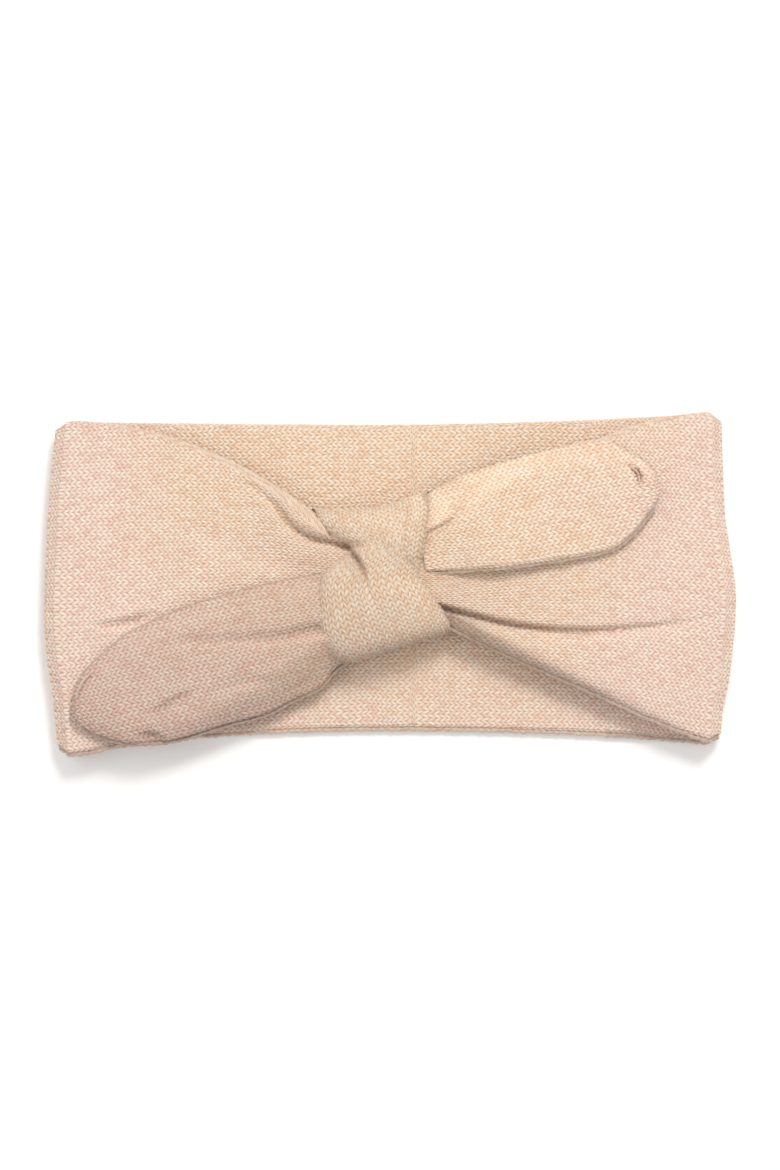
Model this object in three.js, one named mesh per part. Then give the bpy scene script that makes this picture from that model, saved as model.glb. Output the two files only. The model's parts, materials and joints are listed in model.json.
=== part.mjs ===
// A knitted headband with a tied knot, lying flat: a wide double-ply loop, drawn in at the
// front by a strip that is knotted round it. X runs along the band, Y across it, Z is up.
import * as THREE from "three";

// Driving dimensions, millimetres and degrees.
const flatWidth = 231;            // fold to fold, half of the loop's length
const bandHeight = 112;           // edge to edge at the side folds
const sideLift = 1.5;             // how far the right fold lies above the left one's line
const upperDip = 2.3;             // hollow of the upper edge in the middle
const lowerRise = 7.7;            // hollow of the lower edge in the middle
const panelThickness = 3.2;       // two plies of knit
const layerGap = 5;               // air between the back layer and the front layer
const centerLength = 40;          // back panel behind the knot, and the gather in front of it
const touchGap = 0.3;             // clearance between pieces that lie on each other
const gatherHeight = 30;          // the drawn-in band, across
const gatherThickness = 9;
const gatherShift = 1;            // centre of the gather above the band's centre line
const knotShift = 2;              // centre of the knot above the band's centre line
const wrapThickness = 5;          // folded tie where it goes over the gather
const wrapRoom = 4;               // soft filling between the gather's edges and the wrap
const crownRoom = 3;              // soft filling between the gather's face and the wrap
const wrapBackWidth = 26;         // tie where it goes behind the gather
const waistWidth = 21;            // tie where it is pinched over the gather
const lobeWidth = 34;             // tie above and below the pinch
const pinchPlace = -0.28;         // along the wrap, from -1 at its upper end to 1 at its lower
const pinchReach = 0.5;           // stretch of the wrap over which the pinch opens out
const foldStripWidth = 5.6;       // loose fold of the tie beside the pinch
const foldStripThickness = 3;
const tailThickness = 3.6;
const rightTail = { length: 66, width: 37, rootWidth: 29, turn: 10, x: 23.4, y: 19.6 };
const leftTail = { length: 82, width: 41, rootWidth: 36, turn: 193, x: -26, y: -18.5 };
const seamThickness = 1.6;        // linked edge of the knit
const ridgeWidth = 4.4;           // seam that closes the loop at the back
const ridgeHeight = 0.6;
const ridgeX = 8;
const stitchThickness = 1;        // yarn that closes a tail's end
const tackThickness = 0.4;        // yarn that holds the knot to itself
const tackLength = 7;
const tackSpacing = 12;

// How strongly each edge of the front layer bends in towards the knot.
const drawIn = { upperLeft: 2.3, upperRight: 2.3, lowerLeft: 1.7, lowerRight: 1.2 };
const bunching = 3;               // how late the front layer thickens towards the knot
const rootLength = 8;             // stretch of the right front layer that leaves the knot with the tail

// Levels and lengths that follow from them.
const halfWidth = flatWidth / 2;
const halfCenter = centerLength / 2;
const halfJoint = touchGap / 2;
const frontBottom = panelThickness + layerGap;
const middleLevel = panelThickness + layerGap / 2;
const turnRadius = (layerGap + panelThickness) / 2;
const turnX = halfWidth - panelThickness / 2 - turnRadius;
const panelLength = halfWidth - halfCenter;
const seamInset = seamThickness + touchGap;
const gatherBottom = frontBottom + touchGap;
const ridgeTop = panelThickness + touchGap + ridgeHeight;
const tackBottom = frontBottom - touchGap - tackThickness;
const wrapBackThickness = tackBottom - ridgeTop - 2 * touchGap;
const wrapAcross = gatherHeight / 2 + wrapRoom + wrapThickness;
const wrapUp = touchGap + gatherThickness + crownRoom + wrapThickness / 2;

const yarn = {
  band: new THREE.MeshStandardMaterial({ color: 0xeed4bd, roughness: 0.95, metalness: 0 }),
  tie: new THREE.MeshStandardMaterial({ color: 0xe4c9b1, roughness: 0.95, metalness: 0 }),
  seam: new THREE.MeshStandardMaterial({ color: 0xd9bfa8, roughness: 0.95, metalness: 0 }),
};

const headband = new THREE.Group();

function addPiece(name, geometry, material) {
  const mesh = new THREE.Mesh(geometry, material.clone());
  mesh.name = name;
  headband.add(mesh);
  return mesh;
}

// Outline of a flat strip with round edges, as [across, up] pairs, anticlockwise.
function stripSection(halfAcross, halfThick) {
  const arcSteps = 5;
  const flatSteps = 5;
  const reach = halfAcross - halfThick;
  const outline = [];
  for (const side of [1, -1]) {
    for (let step = 0; step <= arcSteps; step += 1) {
      const angle = Math.PI * (step / arcSteps - 0.5);
      outline.push([side * (reach + halfThick * Math.cos(angle)), side * halfThick * Math.sin(angle)]);
    }
    for (let step = 1; step < flatSteps; step += 1) {
      outline.push([side * reach * (1 - (2 * step) / flatSteps), side * halfThick]);
    }
  }
  return outline;
}

// A closed strip of fabric through a row of stations. Each station has a centre, an across
// and an up direction, half the strip's width and half its thickness.
function ribbon(stations) {
  const positions = [];
  for (const { center, across, up, halfAcross, halfThick } of stations) {
    for (const [a, u] of stripSection(halfAcross, halfThick)) {
      const point = center.clone().addScaledVector(across, a).addScaledVector(up, u);
      positions.push(point.x, point.y, point.z);
    }
  }
  const around = stripSection(2, 1).length;
  const last = stations.length - 1;
  const firstHub = positions.length / 3;
  positions.push(...stations[0].center.toArray(), ...stations[last].center.toArray());
  const faces = [];
  for (let row = 0; row < last; row += 1) {
    for (let step = 0; step < around; step += 1) {
      const next = (step + 1) % around;
      const [a, b] = [row * around + step, row * around + next];
      faces.push(a, b, b + around, a, b + around, a + around);
    }
  }
  for (let step = 0; step < around; step += 1) {
    const next = (step + 1) % around;
    faces.push(firstHub, next, step);
    faces.push(firstHub + 1, last * around + step, last * around + next);
  }
  const geometry = new THREE.BufferGeometry();
  geometry.setAttribute("position", new THREE.Float32BufferAttribute(positions, 3));
  geometry.setIndex(faces);
  geometry.computeVertexNormals();
  return geometry;
}

function yarnTube(points, thickness, steps) {
  const circle = new THREE.Shape().absarc(0, 0, thickness / 2, 0, 2 * Math.PI, true);
  const extrudePath = new THREE.CatmullRomCurve3(points);
  return new THREE.ExtrudeGeometry(circle, { steps, curveSegments: 4, extrudePath });
}

// Edges of the band as lines over x.
function upperEdge(x) {
  const along = x / halfWidth;
  return bandHeight / 2 + sideLift * along - upperDip * (1 - along * along);
}

function lowerEdge(x) {
  const along = x / halfWidth;
  return -bandHeight / 2 + seamInset + sideLift * along + lowerRise * (1 - along * along);
}

// How far along the front layer is, from 0 at the fold to 1 at the knot.
function towardsKnot(x) {
  return Math.min(1, Math.max(0, (halfWidth - Math.abs(x)) / panelLength));
}

function frontUpperEdge(x) {
  const start = bandHeight / 2 + sideLift * Math.sign(x);
  const power = x < 0 ? drawIn.upperLeft : drawIn.upperRight;
  const end = gatherShift + gatherHeight / 2;
  return THREE.MathUtils.lerp(start, end, towardsKnot(x) ** power);
}

function frontLowerEdge(x) {
  const start = -bandHeight / 2 + seamInset + sideLift * Math.sign(x);
  const power = x < 0 ? drawIn.lowerLeft : drawIn.lowerRight;
  const end = gatherShift - gatherHeight / 2;
  return THREE.MathUtils.lerp(start, end, towardsKnot(x) ** power);
}

function frontThickness(x) {
  return THREE.MathUtils.lerp(panelThickness, gatherThickness, towardsKnot(x) ** bunching);
}

// Path of a side panel: flat outwards from its start, then a quarter of the fold.
function sidePath(side, layer, start) {
  const flatSteps = 16;
  const turnSteps = 6;
  const cutAngle = Math.asin(touchGap / turnRadius);
  const path = [];
  for (let step = 0; step < flatSteps; step += 1) {
    const x = THREE.MathUtils.lerp(start, turnX, step / flatSteps);
    path.push({ x: side * x, angle: Math.PI / 2 });
  }
  for (let step = 0; step <= turnSteps; step += 1) {
    const angle = THREE.MathUtils.lerp(Math.PI / 2, cutAngle, step / turnSteps);
    path.push({ x: side * (turnX + turnRadius * Math.cos(angle)), angle });
  }
  return path.map(({ x, angle }) => ({
    x,
    z: middleLevel + layer * turnRadius * Math.sin(angle),
    outward: new THREE.Vector3(side * Math.cos(angle), 0, layer * Math.sin(angle)),
  }));
}

// Stations along a path. Layer is -1 for the back layer and 1 for the front layer.
function layerStations(path, side, layer) {
  return path.map(({ x, z, outward }) => {
    const [low, high] = layer < 0 ? [lowerEdge(x), upperEdge(x)] : [frontLowerEdge(x), frontUpperEdge(x)];
    const thick = layer < 0 ? panelThickness : frontThickness(x);
    const center = new THREE.Vector3(x, (low + high) / 2, z).addScaledVector(
      outward, (thick - panelThickness) / 2);
    return {
      center,
      across: new THREE.Vector3(0, side * layer, 0),
      up: outward,
      halfAcross: (high - low) / 2,
      halfThick: thick / 2,
    };
  });
}

function seamPoints(stations, rise = 0) {
  return stations.map(({ center, up, halfAcross }) => {
    const point = center.clone().addScaledVector(up, rise);
    point.y -= halfAcross + touchGap + seamThickness / 2;
    return point;
  });
}

function addSidePanels() {
  for (const [sideName, side] of [["left", -1], ["right", 1]]) {
    for (const [layerName, layer] of [["back", -1], ["front", 1]]) {
      const root = side > 0 && layer > 0 ? rootLength : 0;
      const path = sidePath(side, layer, halfCenter + root + halfJoint);
      const stations = layerStations(path, side, layer);
      addPiece(`${layerName}_panel_${sideName}`, ribbon(stations), yarn.band);
      const seam = yarnTube(seamPoints(stations), seamThickness, 40);
      addPiece(`lower_seam_${layerName}_${sideName}`, seam, yarn.seam);
    }
  }
}

// The stretch of the front layer between the knot and the right panel.
function addFrontRoot() {
  const [start, end] = [halfCenter + halfJoint, halfCenter + rootLength - halfJoint];
  const path = [0, 0.25, 0.5, 0.75, 1].map((place) => ({
    x: THREE.MathUtils.lerp(start, end, place),
    z: middleLevel + turnRadius,
    outward: new THREE.Vector3(0, 0, 1),
  }));
  addPiece("front_root_right", ribbon(layerStations(path, 1, 1)), yarn.band);
}

function addCenterPanel() {
  const steps = 8;
  const reach = halfCenter - halfJoint;
  const stations = [];
  for (let step = 0; step <= steps; step += 1) {
    const x = THREE.MathUtils.lerp(-reach, reach, step / steps);
    const [low, high] = [lowerEdge(x), upperEdge(x)];
    stations.push({
      center: new THREE.Vector3(x, (low + high) / 2, panelThickness / 2),
      across: new THREE.Vector3(0, 1, 0),
      up: new THREE.Vector3(0, 0, 1),
      halfAcross: (high - low) / 2,
      halfThick: panelThickness / 2,
    });
  }
  addPiece("back_panel_center", ribbon(stations), yarn.band);
  addPiece("lower_seam_back_center", yarnTube(seamPoints(stations), seamThickness, 12), yarn.seam);
}

// The ridge of the seam that closes the loop, on the inner side of the back panel.
function addBackSeam() {
  const [low, high] = [lowerEdge(ridgeX) + panelThickness, upperEdge(ridgeX) - panelThickness];
  const ridge = new THREE.BoxGeometry(ridgeWidth, high - low, ridgeHeight);
  const mesh = addPiece("back_seam", ridge, yarn.seam);
  mesh.position.set(ridgeX, (low + high) / 2, ridgeTop - ridgeHeight / 2);
}

function addGather() {
  const steps = 6;
  const reach = halfCenter - halfJoint;
  const stations = [];
  for (let step = 0; step <= steps; step += 1) {
    stations.push({
      center: new THREE.Vector3(
        THREE.MathUtils.lerp(-reach, reach, step / steps), gatherShift, gatherBottom + gatherThickness / 2),
      across: new THREE.Vector3(0, 1, 0),
      up: new THREE.Vector3(0, 0, 1),
      halfAcross: gatherHeight / 2,
      halfThick: gatherThickness / 2,
    });
  }
  addPiece("front_gather", ribbon(stations), yarn.band);
}

// A station of the tie on its arch over the gather: turn 0 is the upper end, 1 the lower end.
function archStation(turn, x, width, thickness) {
  const angle = Math.PI * turn;
  const center = new THREE.Vector3(
    x, knotShift + wrapAcross * Math.cos(angle), frontBottom + wrapUp * Math.sin(angle));
  const up = new THREE.Vector3(0, Math.cos(angle) / wrapAcross, Math.sin(angle) / wrapUp).normalize();
  return {
    center, up, across: new THREE.Vector3(1, 0, 0), halfAcross: width / 2, halfThick: thickness / 2,
  };
}

function wrapWidth(turn) {
  const place = -Math.cos(Math.PI * turn);
  const opening = THREE.MathUtils.smoothstep(Math.abs(place - pinchPlace), 0, pinchReach);
  return THREE.MathUtils.lerp(waistWidth, lobeWidth, opening);
}

function addKnot() {
  const steps = 28;
  const stations = [];
  for (let step = 0; step <= steps; step += 1) {
    const turn = step / steps;
    const width = wrapWidth(turn);
    const isUpper = -Math.cos(Math.PI * turn) < pinchPlace;
    const lean = isUpper ? -(width - waistWidth) / 2 : 0;
    stations.push(archStation(turn, lean, width, wrapThickness));
  }
  addPiece("knot_wrap_front", ribbon(stations), yarn.tie);

  const stripSteps = 8;
  const [stripStart, stripEnd] = [0.17, 0.38];
  const stripX = waistWidth / 2 + 2 * touchGap + foldStripWidth / 2;
  const strip = [];
  for (let step = 0; step <= stripSteps; step += 1) {
    const turn = THREE.MathUtils.lerp(stripStart, stripEnd, step / stripSteps);
    strip.push(archStation(turn, stripX, foldStripWidth, foldStripThickness));
  }
  addPiece("knot_side_fold", ribbon(strip), yarn.tie);
}

// The tie behind the gather, between the two layers of the band.
function addWrapBack() {
  const reach = wrapAcross + wrapThickness / 2;
  const level = tackBottom - touchGap - wrapBackThickness / 2;
  const stations = [-1, -0.5, 0, 0.5, 1].map((place) => ({
    center: new THREE.Vector3(0, knotShift - place * reach, level),
    across: new THREE.Vector3(1, 0, 0),
    up: new THREE.Vector3(0, 0, 1),
    halfAcross: wrapBackWidth / 2,
    halfThick: wrapBackThickness / 2,
  }));
  addPiece("knot_wrap_back", ribbon(stations), yarn.tie);

  for (const [name, side] of [["left", -1], ["right", 1]]) {
    const tack = new THREE.BoxGeometry(tackThickness, tackLength, tackThickness);
    const mesh = addPiece(`knot_tack_${name}`, tack, yarn.seam);
    mesh.position.set((side * tackSpacing) / 2, gatherShift, tackBottom + tackThickness / 2);
  }
}

// Half the width of a tail at a distance from its root, with a round end.
function tailHalfWidth(tail, along) {
  const spread = THREE.MathUtils.smoothstep(along, 0, tail.length / 2);
  const half = THREE.MathUtils.lerp(tail.rootWidth, tail.width, spread) / 2;
  const roundFrom = tail.length - tail.width / 2;
  const past = Math.max(0, along - roundFrom) / (tail.length - roundFrom);
  return half * Math.sqrt(Math.max(0, 1 - past * past));
}

// Stations of a tail, which lies on the front layer beside the knot.
function tailStations(tail) {
  const steps = 26;
  const turn = THREE.MathUtils.degToRad(tail.turn);
  const along = new THREE.Vector3(Math.cos(turn), Math.sin(turn), 0);
  const root = new THREE.Vector3(tail.x, tail.y, 0);
  const end = tail.length - tailThickness / 8;
  const levelAt = (distance) => {
    const x = root.x + along.x * distance;
    const nearest = Math.max(halfCenter, Math.abs(x) - Math.abs(along.y) * tail.width / 2);
    return frontBottom + frontThickness(nearest) + touchGap + tailThickness / 2;
  };
  const stations = [];
  for (let step = 0; step <= steps; step += 1) {
    const distance = end * Math.sin((Math.PI / 2) * (step / steps));
    const slope = (levelAt(distance + 1) - levelAt(distance - 1)) / 2;
    const forward = along.clone().setZ(step === 0 ? 0 : slope).normalize();
    const across = new THREE.Vector3(-along.y, along.x, 0);
    const half = tailHalfWidth(tail, distance);
    stations.push({
      center: root.clone().addScaledVector(along, distance).setZ(levelAt(distance)),
      across,
      up: new THREE.Vector3().crossVectors(forward, across),
      halfAcross: Math.max(half, tailThickness / 2 + touchGap),
      halfThick: tailThickness / 2,
    });
  }
  return stations;
}

function addTail(name, tail, seamSide) {
  const stations = tailStations(tail);
  addPiece(`tail_${name}`, ribbon(stations), yarn.tie);

  const edge = stations.map(({ center, across, halfAcross }) =>
    center.clone().addScaledVector(across, seamSide * halfAcross));
  const upward = new THREE.Vector3(0, 0, 1);
  const rim = edge.slice(1, -5).map((point, index) => {
    const outward = edge[index + 2].clone().sub(edge[index]).cross(upward).normalize();
    return point.clone().addScaledVector(outward, -seamSide * (touchGap + seamThickness / 2));
  });
  addPiece(`tail_${name}_edge_seam`, yarnTube(rim, seamThickness, 30), yarn.seam);

  const hook = stations.slice(-9, -3).map(({ center, across, up, halfAcross }, index) => {
    const reach = -seamSide * (halfAcross - tailThickness) * (1 - index / 8);
    const rise = tailThickness / 2 + touchGap + stitchThickness / 2;
    return center.clone().addScaledVector(across, reach).addScaledVector(up, rise);
  });
  addPiece(`tail_${name}_end_stitch`, yarnTube(hook, stitchThickness, 12), yarn.seam);
}

addCenterPanel();
addSidePanels();
addFrontRoot();
addBackSeam();
addGather();
addKnot();
addWrapBack();
addTail("right", rightTail, -1);
addTail("left", leftTail, 1);

export default headband;
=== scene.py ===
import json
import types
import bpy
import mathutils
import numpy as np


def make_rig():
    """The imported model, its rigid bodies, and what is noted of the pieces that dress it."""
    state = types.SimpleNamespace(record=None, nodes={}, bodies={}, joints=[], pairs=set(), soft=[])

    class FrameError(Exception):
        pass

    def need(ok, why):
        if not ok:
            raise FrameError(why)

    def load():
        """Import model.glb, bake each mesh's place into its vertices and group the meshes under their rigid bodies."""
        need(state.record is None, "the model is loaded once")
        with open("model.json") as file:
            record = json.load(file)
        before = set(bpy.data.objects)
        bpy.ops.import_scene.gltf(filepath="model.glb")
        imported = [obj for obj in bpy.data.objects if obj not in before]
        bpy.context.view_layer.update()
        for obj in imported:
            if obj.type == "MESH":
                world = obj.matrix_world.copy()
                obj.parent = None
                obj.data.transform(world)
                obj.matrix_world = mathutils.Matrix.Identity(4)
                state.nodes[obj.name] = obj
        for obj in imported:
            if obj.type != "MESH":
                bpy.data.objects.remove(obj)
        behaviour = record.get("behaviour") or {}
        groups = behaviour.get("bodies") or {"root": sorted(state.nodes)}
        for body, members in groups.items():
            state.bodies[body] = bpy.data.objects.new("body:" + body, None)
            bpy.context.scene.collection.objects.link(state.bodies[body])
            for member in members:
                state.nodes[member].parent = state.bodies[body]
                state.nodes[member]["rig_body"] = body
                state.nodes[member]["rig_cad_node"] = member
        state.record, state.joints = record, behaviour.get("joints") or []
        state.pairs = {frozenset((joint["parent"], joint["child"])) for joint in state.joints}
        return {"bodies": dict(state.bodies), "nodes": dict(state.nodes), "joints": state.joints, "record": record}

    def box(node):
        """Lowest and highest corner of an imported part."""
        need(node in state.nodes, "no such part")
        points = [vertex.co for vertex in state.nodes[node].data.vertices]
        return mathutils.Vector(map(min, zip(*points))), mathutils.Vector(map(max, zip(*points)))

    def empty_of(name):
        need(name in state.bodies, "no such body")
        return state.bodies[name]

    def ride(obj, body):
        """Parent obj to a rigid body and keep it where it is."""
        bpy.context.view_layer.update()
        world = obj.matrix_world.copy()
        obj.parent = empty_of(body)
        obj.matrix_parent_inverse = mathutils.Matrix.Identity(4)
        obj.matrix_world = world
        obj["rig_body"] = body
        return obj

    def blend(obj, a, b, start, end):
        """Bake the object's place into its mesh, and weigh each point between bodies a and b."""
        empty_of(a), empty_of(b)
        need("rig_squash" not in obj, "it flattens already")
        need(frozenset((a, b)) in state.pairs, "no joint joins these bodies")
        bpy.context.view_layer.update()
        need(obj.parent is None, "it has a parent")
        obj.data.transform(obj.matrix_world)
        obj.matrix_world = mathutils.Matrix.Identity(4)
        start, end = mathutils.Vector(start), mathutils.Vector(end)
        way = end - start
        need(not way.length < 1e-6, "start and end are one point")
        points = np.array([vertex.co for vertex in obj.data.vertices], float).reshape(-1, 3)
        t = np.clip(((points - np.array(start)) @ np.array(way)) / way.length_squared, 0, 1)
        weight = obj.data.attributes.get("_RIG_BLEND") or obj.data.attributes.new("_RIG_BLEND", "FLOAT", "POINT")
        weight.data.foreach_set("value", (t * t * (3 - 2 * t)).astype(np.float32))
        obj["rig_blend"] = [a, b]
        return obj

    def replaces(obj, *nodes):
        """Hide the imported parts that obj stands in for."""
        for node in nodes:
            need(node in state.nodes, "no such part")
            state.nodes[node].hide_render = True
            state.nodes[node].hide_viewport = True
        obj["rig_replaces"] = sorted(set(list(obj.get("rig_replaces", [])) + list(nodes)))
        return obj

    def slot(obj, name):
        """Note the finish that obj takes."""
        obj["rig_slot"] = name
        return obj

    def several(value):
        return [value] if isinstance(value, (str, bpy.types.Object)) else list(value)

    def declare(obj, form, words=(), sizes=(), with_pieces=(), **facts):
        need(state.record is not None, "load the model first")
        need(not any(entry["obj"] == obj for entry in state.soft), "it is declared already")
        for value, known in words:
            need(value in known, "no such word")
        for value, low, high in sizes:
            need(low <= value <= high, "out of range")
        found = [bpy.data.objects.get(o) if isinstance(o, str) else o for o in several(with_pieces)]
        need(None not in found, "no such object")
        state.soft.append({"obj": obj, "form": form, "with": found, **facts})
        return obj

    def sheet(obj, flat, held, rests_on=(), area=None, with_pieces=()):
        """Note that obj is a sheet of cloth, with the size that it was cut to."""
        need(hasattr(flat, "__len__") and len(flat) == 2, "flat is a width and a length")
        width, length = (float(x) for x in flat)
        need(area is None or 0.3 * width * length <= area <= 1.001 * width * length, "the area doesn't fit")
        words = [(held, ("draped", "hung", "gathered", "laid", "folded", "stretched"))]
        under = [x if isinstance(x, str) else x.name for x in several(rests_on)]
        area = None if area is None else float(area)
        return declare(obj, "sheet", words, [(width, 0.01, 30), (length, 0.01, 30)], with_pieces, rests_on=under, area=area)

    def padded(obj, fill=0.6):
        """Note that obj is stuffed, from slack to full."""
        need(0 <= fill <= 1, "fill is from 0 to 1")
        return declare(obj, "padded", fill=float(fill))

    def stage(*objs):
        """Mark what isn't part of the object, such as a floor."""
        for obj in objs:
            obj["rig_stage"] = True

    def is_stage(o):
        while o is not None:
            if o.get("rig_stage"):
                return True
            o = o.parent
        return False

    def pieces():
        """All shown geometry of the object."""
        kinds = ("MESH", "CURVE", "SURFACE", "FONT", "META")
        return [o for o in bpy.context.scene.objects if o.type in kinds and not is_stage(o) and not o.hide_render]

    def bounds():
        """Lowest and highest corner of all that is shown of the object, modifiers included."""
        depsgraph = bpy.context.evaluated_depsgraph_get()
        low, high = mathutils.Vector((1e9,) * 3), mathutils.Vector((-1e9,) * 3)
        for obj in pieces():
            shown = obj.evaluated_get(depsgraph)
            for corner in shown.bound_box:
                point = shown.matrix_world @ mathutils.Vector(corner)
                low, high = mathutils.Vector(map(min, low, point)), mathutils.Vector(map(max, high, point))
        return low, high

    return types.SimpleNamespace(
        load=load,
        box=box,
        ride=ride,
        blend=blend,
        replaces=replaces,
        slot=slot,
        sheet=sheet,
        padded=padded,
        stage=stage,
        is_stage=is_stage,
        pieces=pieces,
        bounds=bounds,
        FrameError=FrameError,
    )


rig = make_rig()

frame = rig.load()        # bodies, nodes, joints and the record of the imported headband

import json
import math

import bpy
import numpy as np
from mathutils import Vector

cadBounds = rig.bounds()
mm = 0.001
jointByName = {j["name"]: j for j in frame["joints"]}

knit = {
    "course": 1.87,         # one stitch along the wale, mm
    "wale": 2.43,           # one stitch across, mm
    "relief": 0.5,          # depth between the legs of the stitches, mm
    "slant": 0.8,           # how far a leg leans over its wale, in courses
    "stepsPerCourse": 4,
    "stepsPerWale": 6,
    "arcSteps": 16,
}


def inMillimetres(node):
    low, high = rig.box(node)
    return [v / mm for v in low], [v / mm for v in high]


def easeIn(t):
    t = np.clip(t, 0, 1)
    return t * t * (3 - 2 * t)


def throughPoints(xs, ys, at):
    # smooth line through a few points, without overshoot
    xs, ys = np.asarray(xs, float), np.asarray(ys, float)
    chord = np.diff(ys) / np.diff(xs)
    slope = np.zeros(len(xs))
    slope[0], slope[-1] = chord[0], chord[-1]
    before, after = chord[:-1], chord[1:]
    agree = before * after > 0
    slope[1:-1] = np.where(agree, 2 * before * after / np.where(agree, before + after, 1), 0)
    at = np.clip(at, xs[0], xs[-1])
    i = np.clip(np.searchsorted(xs, at) - 1, 0, len(xs) - 2)
    h = xs[i + 1] - xs[i]
    t = (at - xs[i]) / h
    return (ys[i] * (1 + 2 * t) * (1 - t) ** 2 + slope[i] * h * t * (1 - t) ** 2
            + ys[i + 1] * t * t * (3 - 2 * t) + slope[i + 1] * h * t * t * (t - 1))


def stitchHeight(course, wale):
    # 1 on top of a leg, 0 in the gaps: two slanted legs in each wale, no two quite alike
    leg = np.abs(2 * (wale - np.floor(wale)) - 1)
    row = course + knit["slant"] * leg
    along = np.abs(np.sin(np.pi * row)) ** 0.7
    across = np.clip(np.sin(np.pi * leg), 0, 1) ** 0.4
    cell = np.sin(np.floor(row) * 12.9898 + np.floor(2 * wale) * 78.233) * 43758.5453
    return along * across * (0.68 + 0.32 * (cell - np.floor(cell)))


def unevenRows(course, wale):
    # hand of the knitting: rows and wales wander by a fraction of a stitch
    draw = np.random.default_rng(3)
    shift = [0, 0]
    for k in range(12):
        turn, phase = draw.uniform(0, math.tau, 2)
        length = draw.uniform(3.5, 14)
        wave = np.sin((course * math.cos(turn) + wale * math.sin(turn)) * math.tau / length + phase)
        shift[k % 2] = shift[k % 2] + wave
    return course + 0.085 * shift[0], wale + 0.04 * shift[1]


def creaseShift(x, y, crease):
    # height change of a face along a crease: a groove, and a lip on its left side
    line = np.array(crease["line"], float)
    chord = np.concatenate([[0], np.cumsum(np.hypot(*np.diff(line, axis=0).T))])
    at = np.linspace(0, chord[-1], 40)
    px, py = (throughPoints(chord, line[:, k], at) for k in (0, 1))
    depths = throughPoints(chord, crease["depth"], at)
    best = np.full(x.shape, 1e9)
    signed, deep = np.zeros(x.shape), np.zeros(x.shape)
    for k in range(len(at) - 1):
        dx, dy = px[k + 1] - px[k], py[k + 1] - py[k]
        t = np.clip(((x - px[k]) * dx + (y - py[k]) * dy) / (dx * dx + dy * dy), 0, 1)
        rx, ry = x - px[k] - t * dx, y - py[k] - t * dy
        away = np.hypot(rx, ry)
        nearer = away < best
        best = np.where(nearer, away, best)
        signed = np.where(nearer, np.sign(dx * ry - dy * rx) * away, signed)
        deep = np.where(nearer, depths[k] + t * (depths[k + 1] - depths[k]), deep)
    width = crease["width"]
    groove = -np.exp(-((signed / width) ** 2))
    lip = crease.get("lip", 0) * np.exp(-(((signed - 2 * width) / (1.6 * width)) ** 2))
    fade = np.exp(-np.clip(-signed, 0, None) / crease.get("fade", 20))
    step = -crease.get("step", 0) * easeIn(-signed / width) * fade
    return deep * (groove + lip + step)


def creaseShadeBy(folds, strength=0.24):
    # painted shade: the yarn is darkened towards grey at the bottom of the deeper creases
    return 1 - np.exp(-(strength * np.clip(-folds, 0, None)) ** 2)


def softWaves(x, y, size, seed):
    # slow unevenness of cloth that lies loose
    draw = np.random.default_rng(seed)
    total = np.zeros(np.shape(x))
    for k in range(7):
        turn, phase = draw.uniform(0, math.tau, 2)
        length = draw.uniform(22, 60)
        total = total + np.sin((x * math.cos(turn) + y * math.sin(turn)) * math.tau / length + phase)
    return size * total / 3.5


def startMesh(name, verts, polygons, flatFaces=0):
    # verts in mm; polygons holds arrays of corners, a row for each face; the last faces can be flat
    mesh = bpy.data.meshes.new(name)
    mesh.vertices.add(len(verts))
    mesh.vertices.foreach_set("co", (verts * mm).astype(np.float32).ravel())
    corners = np.concatenate([rows.ravel() for rows in polygons])
    sizes = np.concatenate([np.full(len(rows), rows.shape[1]) for rows in polygons])
    mesh.loops.add(len(corners))
    mesh.loops.foreach_set("vertex_index", corners.astype(np.int32))
    mesh.polygons.add(len(sizes))
    mesh.polygons.foreach_set("loop_start", (np.cumsum(sizes) - sizes).astype(np.int32))
    mesh.polygons.foreach_set("use_smooth", np.arange(len(sizes)) < len(sizes) - flatFaces)
    return mesh


def finishMesh(mesh, material, normals=None):
    mesh.update(calc_edges=True)
    mesh.validate()
    if normals is not None:
        mesh.normals_split_custom_set_from_vertices(normals)
    mesh.materials.append(material)
    piece = bpy.data.objects.new(mesh.name, mesh)
    bpy.context.scene.collection.objects.link(piece)
    return piece


def meshFromRings(name, points, course, wale, material, normals=None, shade=0):
    # points is stations x columns x 3 in mm; the columns close round, and both ends are capped;
    # shade is the share of painted shade, greyer yarn, at each point
    n, m = points.shape[:2]
    index = np.arange(n * (m - 1)).reshape(n, m - 1)
    index = np.concatenate([index, index[:, :1]], 1)

    def aroundFaces(v):
        return np.stack([v[:-1, :-1], v[:-1, 1:], v[1:, 1:], v[1:, :-1]], -1).reshape(-1, 4)

    verts = points[:, :-1].reshape(-1, 3)
    mesh = startMesh(name, verts, [aroundFaces(index), index[:1, :-1][:, ::-1], index[-1:, :-1]], 2)
    uv = mesh.uv_layers.new(name="stitches")
    counts = [np.concatenate([aroundFaces(v).ravel(), v[0, :-1][::-1], v[-1, :-1]])
              for v in (course, wale)]
    uv.data.foreach_set("uv", np.stack(counts, -1).astype(np.float32).ravel())
    rest = mesh.attributes.new("restPlace", "FLOAT_VECTOR", "POINT")
    rest.data.foreach_set("vector", (verts * mm).astype(np.float32).ravel())
    paintedShade = mesh.attributes.new("paintedShade", "FLOAT", "POINT")
    paintedShade.data.foreach_set("value", np.broadcast_to(shade, (n, m))[:, :-1].astype(np.float32).ravel())
    return finishMesh(mesh, material, None if normals is None else normals[:, :-1].reshape(-1, 3))


def unit(v):
    return v / np.maximum(np.linalg.norm(v, axis=-1, keepdims=True), 1e-9)


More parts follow.
